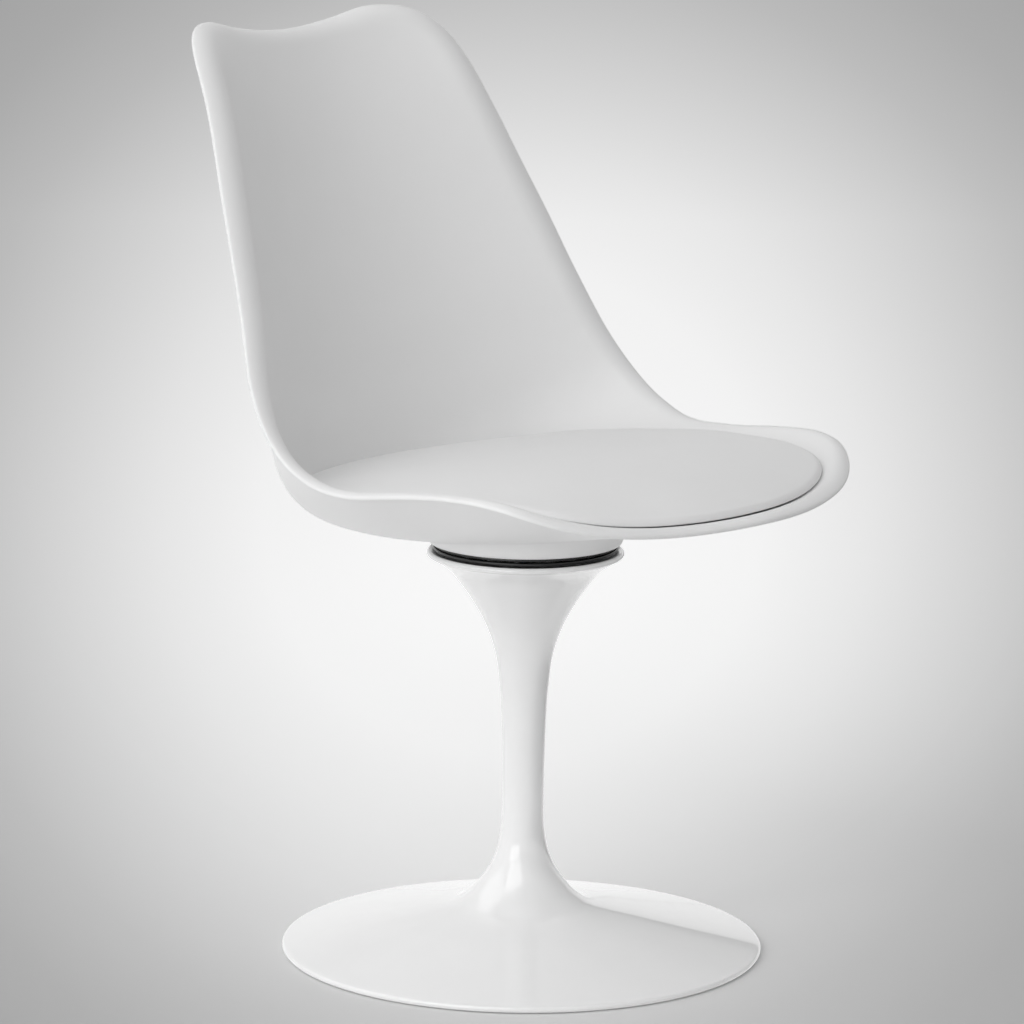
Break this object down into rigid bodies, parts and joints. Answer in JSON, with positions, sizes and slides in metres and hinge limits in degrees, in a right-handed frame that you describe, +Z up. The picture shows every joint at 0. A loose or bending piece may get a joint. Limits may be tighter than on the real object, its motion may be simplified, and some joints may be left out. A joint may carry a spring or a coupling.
{
  "type": "swivel dining chair",
  "caption": "Side chair with a moulded high-back shell and an inset seat cushion, turning on a trumpet pedestal",
  "frame": {"origin": "on the floor, under the middle of the chair's depth; the swivel's axis is 10.8 mm in front of it", "axes": "+Z up, the sitter faces -Y, +X to the sitter's left; the chair is symmetric about X = 0"},
  "size_m": [0.498, 0.5632, 0.8102],
  "materials": {
    "gloss_white_paint": "white powder coat, high gloss",
    "satin_white_plastic": "white moulded plastic, satin",
    "pale_leatherette": "pale leatherette, fine grain",
    "black_enamel": "black enamel, gloss",
    "zinc_plated_steel": "zinc-plated, satin",
    "bearing_steel": "ground and polished",
    "brass": "turned, satin",
    "natural_nylon": "natural nylon, moulded",
    "grey_polypropylene": "grey polypropylene, moulded",
    "white_nylon_tape": "hook-and-loop tape, white nylon",
    "cream_foam": "cream polyurethane foam, open-celled"
  },
  "bodies": {
    "pedestal": {"floor_ring": "natural_nylon", "pedestal": "gloss_white_paint", "lower_swivel_plate": "black_enamel", "swivel_pivot": "zinc_plated_steel", "pivot_washer": "zinc_plated_steel", "pivot_nut": "zinc_plated_steel", "plate_screw_1": "zinc_plated_steel", "plate_screw_2": "zinc_plated_steel", "plate_screw_3": "zinc_plated_steel", "plate_screw_4": "zinc_plated_steel"},
    "ball_cage": {"ball_cage": "natural_nylon", "race_ball_1": "bearing_steel", "race_ball_2": "bearing_steel", "race_ball_3": "bearing_steel", "race_ball_4": "bearing_steel", "race_ball_5": "bearing_steel", "race_ball_6": "bearing_steel", "race_ball_7": "bearing_steel", "race_ball_8": "bearing_steel", "race_ball_9": "bearing_steel", "race_ball_10": "bearing_steel", "race_ball_11": "bearing_steel", "race_ball_12": "bearing_steel", "race_ball_13": "bearing_steel", "race_ball_14": "bearing_steel", "race_ball_15": "bearing_steel", "race_ball_16": "bearing_steel"},
    "seat": {"upper_swivel_plate": "black_enamel", "pivot_bush": "brass", "seat_shell": "satin_white_plastic", "shell_screw_1": "zinc_plated_steel", "shell_insert_1": "brass", "shell_screw_2": "zinc_plated_steel", "shell_insert_2": "brass", "shell_screw_3": "zinc_plated_steel", "shell_insert_3": "brass", "shell_screw_4": "zinc_plated_steel", "shell_insert_4": "brass", "cushion_board": "grey_polypropylene", "cushion_foam": "cream_foam", "cushion_cover": "pale_leatherette", "hook_pad_1": "white_nylon_tape", "loop_pad_1": "white_nylon_tape", "hook_pad_2": "white_nylon_tape", "loop_pad_2": "white_nylon_tape", "hook_pad_3": "white_nylon_tape", "loop_pad_3": "white_nylon_tape", "hook_pad_4": "white_nylon_tape", "loop_pad_4": "white_nylon_tape"}
  },
  "joints": [
    {"name": "seat_swivel", "type": "hinge", "parent": "pedestal", "child": "seat", "pos_m": [0, -0.0108, 0.3654], "axis": [0, 0, 1], "continuous": true},
    {"name": "cage_turn", "type": "hinge", "parent": "pedestal", "child": "ball_cage", "pos_m": [0, -0.0108, 0.3654], "axis": [0, 0, 1], "continuous": true}
  ],
  "couplings": [
    {"joint": "cage_turn", "follows": "seat_swivel", "ratio": 0.5}
  ]
}
